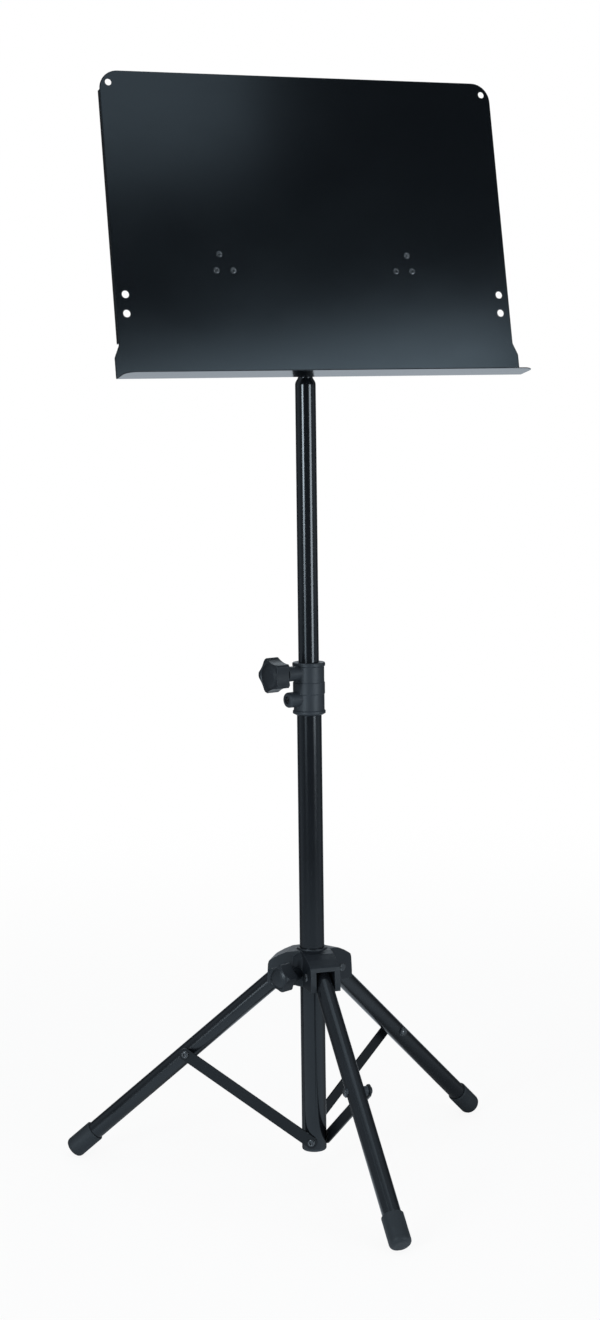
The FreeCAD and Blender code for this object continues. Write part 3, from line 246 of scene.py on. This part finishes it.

# %% [markdown]
# ## Moulded nylon and rubber
# The collar, the hub and the knobs are nylon from a spark-eroded mould, which leaves a dull even
# sandy grain. Nylon is a shade lighter than the paint, and its corners go pale and smooth with
# handling. The hub gets a darker and smoother copy of the collar's nylon; the darker colour is painted
# shade for its shaded front. The feet are soft black rubber: duller still and a little mottled.

# %% Nylon and rubber
cloudy_patches = 35  # to the metre
pale_corner, soft_corner = 0.0009, 0.0006  # metres
corner_polish = 0.15

def moulded(name, base, pale, rough_low, rough_high, grains, depth, edge_paleness=0.6, specular=0.5, metallic=0.0):
    skin = Finish(name)
    grain = skin.noise(grains)
    cloud = skin.noise(cloudy_patches, detail=3.0)
    tone = skin.blend(skin.spread(cloud, low=0.0, high=1.0), base, shade(base, times=1.22))
    # pale corners: wear on most skins, a painted highlight on the rivets
    pale_edge = skin.math("MULTIPLY", skin.edge(pale_corner), skin.spread(cloud, low=0.2, high=edge_paleness))
    dull = skin.spread(grain, rough_low, rough_high)
    polished = skin.math("SUBTRACT", dull, skin.math("MULTIPLY", pale_edge, corner_polish))
    skin.fill(skin.shader, Base_Color=skin.blend(pale_edge, tone, pale), Roughness=polished,
              Metallic=metallic, Specular_IOR_Level=specular, Specular_Tint=cold_sheen)
    skin.grain(grain, depth, strength=0.9, round_edges=soft_corner)

moulded("moulded_plastic", base=(0.0145, 0.0188, 0.0240), pale=(0.045, 0.052, 0.062),
        rough_low=0.42, rough_high=0.54, grains=1700, depth=0.00003)
# painted shade: the collar's nylon made darker for the hub's shaded front
moulded("hub_plastic_painted_shade", base=(0.0036, 0.0052, 0.0078), pale=(0.034, 0.040, 0.050),
        rough_low=0.40, rough_high=0.52, grains=1700, depth=0.00003)
moulded("knob_plastic", base=(0.0046, 0.0062, 0.0086), pale=(0.036, 0.042, 0.052),
        rough_low=0.36, rough_high=0.48, grains=1700, depth=0.00003)
moulded("foot_rubber", base=(0.0125, 0.0160, 0.0195), pale=(0.034, 0.038, 0.042),
        rough_low=0.50, rough_high=0.68, grains=1100, depth=0.00008, edge_paleness=0.8, specular=0.4)
print("finishes so far:", list(finish_of_slot))

# %% [markdown]
# ## Rivets and screw
# The rivets are blacked steel, and their pale rims are a painted highlight for the lamps' bright
# arcs in the glossy rims. The fixing screw in the collar is blacked steel too, but duller. Neither is
# moulded, but both are a dark skin with a grain and paler corners, so the same function makes them
# and only the numbers differ: the rivets are far smoother, and the screw is partly metal to the light.

# %% Rivets and screw
# painted highlight: the pale rims stand for the lamps' glints on the rivets
moulded("rivet_steel", base=(0.012, 0.014, 0.016), pale=(0.34, 0.36, 0.39),
        rough_low=0.14, rough_high=0.22, grains=900, depth=0.000006, edge_paleness=0.9, specular=1.0)
moulded("black_screw", base=(0.025, 0.026, 0.028), pale=(0.20, 0.20, 0.20),
        rough_low=0.26, rough_high=0.40, grains=900, depth=0.00003, edge_paleness=0.9, metallic=0.75)
print("rivets and screw made")

# %% [markdown]
# ## The small working pieces
# Behind the desk and inside the clamps are turned brass, zinc, spring steel, pressed fibre and
# undyed nylon. Turned metal has a fine tool grain that its shine follows, and slow stains where it
# was handled, so one noise drives both the bump and the roughness and a slower one the colour.
# Fibre and undyed nylon are moulded skins again, in their own colours.

# %% Bare metals, fibre and nylon
tool_marks, stains = 2500, 120  # to the metre
mark_depth, dressed_edge = 0.00002, 0.0003  # metres

def turned_metal(name, base, rough_low, rough_high):
    metal = Finish(name)
    marks = metal.noise(tool_marks)
    stain = metal.noise(stains, detail=3.0)
    tone = metal.blend(metal.spread(stain, low=0.0, high=1.0), base, shade(base, times=0.78))
    shine = metal.spread(marks, rough_low, rough_high)
    metal.fill(metal.shader, Base_Color=tone, Roughness=shine, Metallic=1.0)
    metal.grain(marks, mark_depth, strength=0.6, round_edges=dressed_edge)

turned_metal("zinc_bolt", base=(0.60, 0.62, 0.65), rough_low=0.28, rough_high=0.42)
turned_metal("brass_thread", base=(0.72, 0.53, 0.24), rough_low=0.25, rough_high=0.40)
turned_metal("spring_steel", base=(0.42, 0.42, 0.43), rough_low=0.30, rough_high=0.45)
turned_metal("end_plug_steel", base=(0.45, 0.45, 0.46), rough_low=0.30, rough_high=0.45)
moulded("fibre", base=(0.22, 0.095, 0.05), pale=(0.35, 0.20, 0.13),
        rough_low=0.65, rough_high=0.85, grains=700, depth=0.0001)
moulded("guide_nylon", base=(0.62, 0.60, 0.54), pale=(0.75, 0.74, 0.70),
        rough_low=0.40, rough_high=0.55, grains=500, depth=0.00004)
print(len(finish_of_slot), "finishes in all")

# %% [markdown]
# ## Dress the pieces
# The record says which finish belongs to which piece, so the dressing is one loop over it, and a
# piece added later is dressed without a new line. Only the hub steps out of the list: it shares the
# collar's nylon in the record, and takes a darker, smoother copy here, darkened as painted shade.

# %% Dress
for piece in frame["record"]["subparts"]:
    # the hub takes the darker copy of the nylon, whose darker colour is painted shade
    slot_name = "hub_plastic_painted_shade" if piece["node"] == "hub" else piece["material_slot"]
    for slot in nodes[piece["node"]].material_slots:
        slot.material = finish_of_slot[slot_name]
print(len(finish_of_slot), "finishes on", len(nodes), "pieces")

# %% [markdown]
# ## The room
# A black gloss stand shows what is round it, so the room matters as much as the paint. It stands on
# white, and the room on the viewer's side is kept dark, so that the black stays black and only the
# soft boxes show in it. A white backdrop hangs straight behind the stand and grey walls are at the
# sides, which is what gives a black tube its dark rims. Real walls would also throw light on the
# stand. Here only reflections see them, so they are worked out from a direction: facing is 1 straight
# at the backdrop and -1 straight away from it. The floor and the world share these functions.

# %% Walls and backdrop
backdrop_side = (0.37, 0.93, 0.0)

def grey_walls(recipe, facing, viewer_side):
    """Light of the walls: viewer_side in front, brightest at the sides, weak next to the backdrop."""
    rise = recipe.ease(facing, start=-0.72, end=-0.10, low=viewer_side, high=0.42)
    gap = recipe.ease(facing, start=0.10, end=0.60, low=1.0, high=0.15)
    return recipe.math("MULTIPLY", rise, gap)

def white_backdrop(recipe, facing):
    return recipe.ease(facing, start=0.86, end=0.99, low=0.0, high=1.0)

def mirror_rays(recipe, light_path):
    """1 for what shows in a shiny surface or through a clear one."""
    return recipe.math("MAXIMUM", light_path.outputs["Is Glossy Ray"],
                       light_path.outputs["Is Transmission Ray"])

print("the backdrop hangs toward", backdrop_side)

# %% [markdown]
# ## The floor
# The floor is a wide pale sheet, round so that no corner shows. As a surface it is matt and nearly
# white, and it throws light back up at the feet as a real studio floor does.

# %% Floor
floor_radius, floor_corners = 30.0, 64
turns = [math.tau * i / floor_corners for i in range(floor_corners)]
rim = [(math.cos(turn) * floor_radius, math.sin(turn) * floor_radius, 0) for turn in turns]
floor_mesh = bpy.data.meshes.new("floor")
floor_mesh.from_pydata(rim, [], [tuple(range(floor_corners))])
floor = bpy.data.objects.new("floor", floor_mesh)
bpy.context.scene.collection.objects.link(floor)

floor_white = bpy.data.materials.new("floor_white")
floor_white.use_nodes = True
floor_recipe = Recipe(floor_white.node_tree)
matt_sheet = floor_white.node_tree.nodes["Principled BSDF"]
floor_recipe.fill(matt_sheet, Base_Color=(0.86, 0.86, 0.86), Roughness=0.9, Specular_IOR_Level=0.0)
floor.data.materials.append(floor_white)
print("floor", floor_radius, "m in radius")

# %% [markdown]
# ## What the floor shows
# A lit floor never comes out as clean even white, and more light would spoil the black. So the sheet
# also glows, but only to those who look at it. The viewer sees plain white, with a tenth of the true
# sheet mixed in near the stand, which keeps its faint shadow. Reflections see a pool of light
# round the feet that fades outward, and beyond it the room's walls and backdrop.

# %% What the floor shows
cool_white, pure_white = (0.82, 0.91, 1.0), (1, 1, 1)
spot = floor_recipe.add("ShaderNodeNewGeometry").outputs["Position"]
distance = floor_recipe.vector("LENGTH", spot)
facing = floor_recipe.vector("DOT_PRODUCT", floor_recipe.vector("NORMALIZE", spot), backdrop_side)
pool = floor_recipe.math("MULTIPLY", floor_recipe.ease(distance, start=0.3, end=2.4, low=1.0, high=0.08),
                         floor_recipe.ease(facing, start=-0.3, end=0.75, low=0.9, high=0.12))
walls = grey_walls(floor_recipe, facing, viewer_side=0.10)
reflected = floor_recipe.math("MAXIMUM", floor_recipe.math("MAXIMUM", pool, walls),
                              white_backdrop(floor_recipe, facing))

light_path = floor_recipe.add("ShaderNodeLightPath")
viewed = light_path.outputs["Is Camera Ray"]
mirrored = mirror_rays(floor_recipe, light_path)
strength = floor_recipe.math("ADD", viewed, floor_recipe.math("MULTIPLY", mirrored, reflected))
glow = floor_recipe.add("ShaderNodeEmission")
floor_recipe.fill(glow, Color=floor_recipe.blend(viewed, cool_white, pure_white), Strength=strength)
share = floor_recipe.math("MULTIPLY", floor_recipe.math("MAXIMUM", viewed, mirrored),
                          floor_recipe.ease(distance, start=0.5, end=2.5, low=0.90, high=1.0))
shown = floor_recipe.mix_shaders(share, matt_sheet.outputs["BSDF"], glow.outputs["Emission"])
floor_recipe.fill(floor_white.node_tree.nodes["Material Output"], Surface=shown)
print("floor wired with", len(floor_white.node_tree.nodes), "nodes")

# %% [markdown]
# ## The world
# Beyond the floor's rim there is nothing but the world. It lights the stand with an even white at
# less than half strength, the viewer sees it as plain white, and reflections see the same walls and
# backdrop as in the floor, in a cool white, and nearly black on the viewer's side.

# %% World
world = bpy.data.worlds.new("studio")
bpy.context.scene.world = world
world.use_nodes = True
world_recipe = Recipe(world.node_tree)

even_light = world.node_tree.nodes["Background"]
world_recipe.fill(even_light, Color=pure_white, Strength=0.45)
plain_white = world_recipe.add("ShaderNodeBackground")
world_recipe.fill(plain_white, Color=pure_white)

direction = world_recipe.add("ShaderNodeTexCoord").outputs["Generated"]
facing = world_recipe.vector("DOT_PRODUCT", direction, backdrop_side)
walls = grey_walls(world_recipe, facing, viewer_side=0.03)
room = world_recipe.add("ShaderNodeBackground")
world_recipe.fill(room, Color=(0.85, 0.92, 1.0),
                  Strength=world_recipe.math("MAXIMUM", walls, white_backdrop(world_recipe, facing)))

light_path = world_recipe.add("ShaderNodeLightPath")
in_reflections = world_recipe.mix_shaders(mirror_rays(world_recipe, light_path),
                                          even_light.outputs["Background"], room.outputs["Background"])
seen = world_recipe.mix_shaders(light_path.outputs["Is Camera Ray"], in_reflections,
                                plain_white.outputs["Background"])
world_recipe.fill(world.node_tree.nodes["World Output"], Surface=seen)
print("world wired with", len(world.node_tree.nodes), "nodes")

# %% [markdown]
# ## Soft boxes
# Black gloss shows the lamps rather than its own colour, so each lamp is placed for what it draws. On
# the left of the camera a tall weak box draws a long soft line down the tubes, and a shorter bright
# one just in front of it gives the line its strong middle. On the right a large bright box stands
# low, with a slit above that carries its line on up the pole. The low one also lies in the desk's
# reflection, so its top sets where the desk goes from grey to black. A lamp high on the right gives
# the desk's upper corners their glow, and three weak ones at the upper left, behind and overhead keep
# the tops of the hub, the collar and the feet from going flat black. The brightness is the one that
# a mirror would show, so two boxes of different sizes can be compared.

# %% Lamps
camera_bearing = 248.3  # degrees round the pole
cool, neutral = (0.84, 0.93, 1.0), (0.95, 0.97, 1.0)
pole_foot, mid_stand, desk_middle = Vector((0, 0, 0)), Vector((0, 0, 0.95)), Vector((0, 0, 1.15))

def soft_box(name, bearing, distance, height, width, tall, brightness, target=None, tint=cool):
    """An area lamp at a bearing from the camera's side; with no target it points level at the pole."""
    lamp = bpy.data.lights.new(name, "AREA")
    lamp.color = tint
    lamp.shape = "RECTANGLE"
    lamp.size, lamp.size_y = width, tall
    lamp.energy = brightness * math.pi * width * tall
    holder = bpy.data.objects.new(name, lamp)
    bpy.context.scene.collection.objects.link(holder)
    angle = math.radians(camera_bearing + bearing)
    holder.location = (distance * math.cos(angle), distance * math.sin(angle), height)
    aim = Vector((0, 0, height)) if target is None else target
    holder.rotation_euler = (aim - holder.location).to_track_quat("-Z", "Y").to_euler()
    holder.visible_camera = False
    print(name, [round(v, 2) for v in holder.location], "brightness", brightness)

soft_box("left_box", bearing=-34, distance=3.3, height=1.15, width=0.92, tall=2.0, brightness=3.4)
soft_box("left_inner_box", bearing=-34, distance=3.25, height=1.05, width=0.84, tall=0.95,
         brightness=13.0, tint=neutral)
soft_box("right_low_box", bearing=50, distance=3.3, height=0.70, width=1.16, tall=1.1,
         brightness=9.0, tint=neutral)
soft_box("right_high_box", bearing=43, distance=3.3, height=2.07, width=1.25, tall=0.4, brightness=3.6)
soft_box("glow_box", bearing=33.5, distance=3.0, height=3.16, width=1.15, tall=0.85,
         brightness=1.3, target=desk_middle)
soft_box("left_upper_box", bearing=-40, distance=2.6, height=2.75, width=1.4, tall=1.0,
         brightness=1.8, target=mid_stand)
soft_box("back_box", bearing=180, distance=3.0, height=2.8, width=1.6, tall=1.2,
         brightness=2.3, target=mid_stand)
soft_box("top_box", bearing=0, distance=0.05, height=3.6, width=2.0, tall=2.0,
         brightness=1.1, target=pole_foot)

# %% [markdown]
# ## Camera
# The camera stands a little to the left of the stand's front, level with the shelf, so the shelf is
# seen edge on. A long lens keeps the pole upright, and a small shift of the lens brings the feet into
# the frame without tilting the camera further, which would make the pole lean. The lens and the point
# that it looks through are given in the units of a frame 600 wide and 1320 tall.

# %% Camera
frame_wide, frame_tall = 600, 1320
lens_length, centre_x, centre_y = 2446.74, 306.9, 512.44
eye = Vector((-1.08594, -2.73027, 0.96041))
turn, pitch, roll = math.radians(21.69), math.radians(3.1), math.radians(-0.68)

ahead = Vector((math.sin(turn), math.cos(turn), 0))
level = Vector((math.cos(turn), -math.sin(turn), 0))
upright = Vector((0, 0, 1))
view = ahead * math.cos(pitch) - upright * math.sin(pitch)
above = upright * math.cos(pitch) + ahead * math.sin(pitch)
right = level * math.cos(roll) + above * math.sin(roll)
up = above * math.cos(roll) - level * math.sin(roll)

lens = bpy.data.cameras.new("camera")
lens.sensor_width = 36
lens.lens = lens_length / frame_tall * lens.sensor_width
lens.shift_x = (frame_wide / 2 - centre_x) / frame_tall
lens.shift_y = (centre_y - frame_tall / 2) / frame_tall
lens.clip_end = 100
camera = bpy.data.objects.new("camera", lens)
bpy.context.scene.collection.objects.link(camera)
camera.matrix_world = Matrix((
    (right.x, up.x, -view.x, eye.x),
    (right.y, up.y, -view.y, eye.y),
    (right.z, up.z, -view.z, eye.z),
    (0, 0, 0, 1)))
bpy.context.scene.camera = camera
bpy.context.scene.view_settings.view_transform = "Standard"
print("camera at", [round(v, 3) for v in eye], "lens", round(lens.lens, 2), "mm")
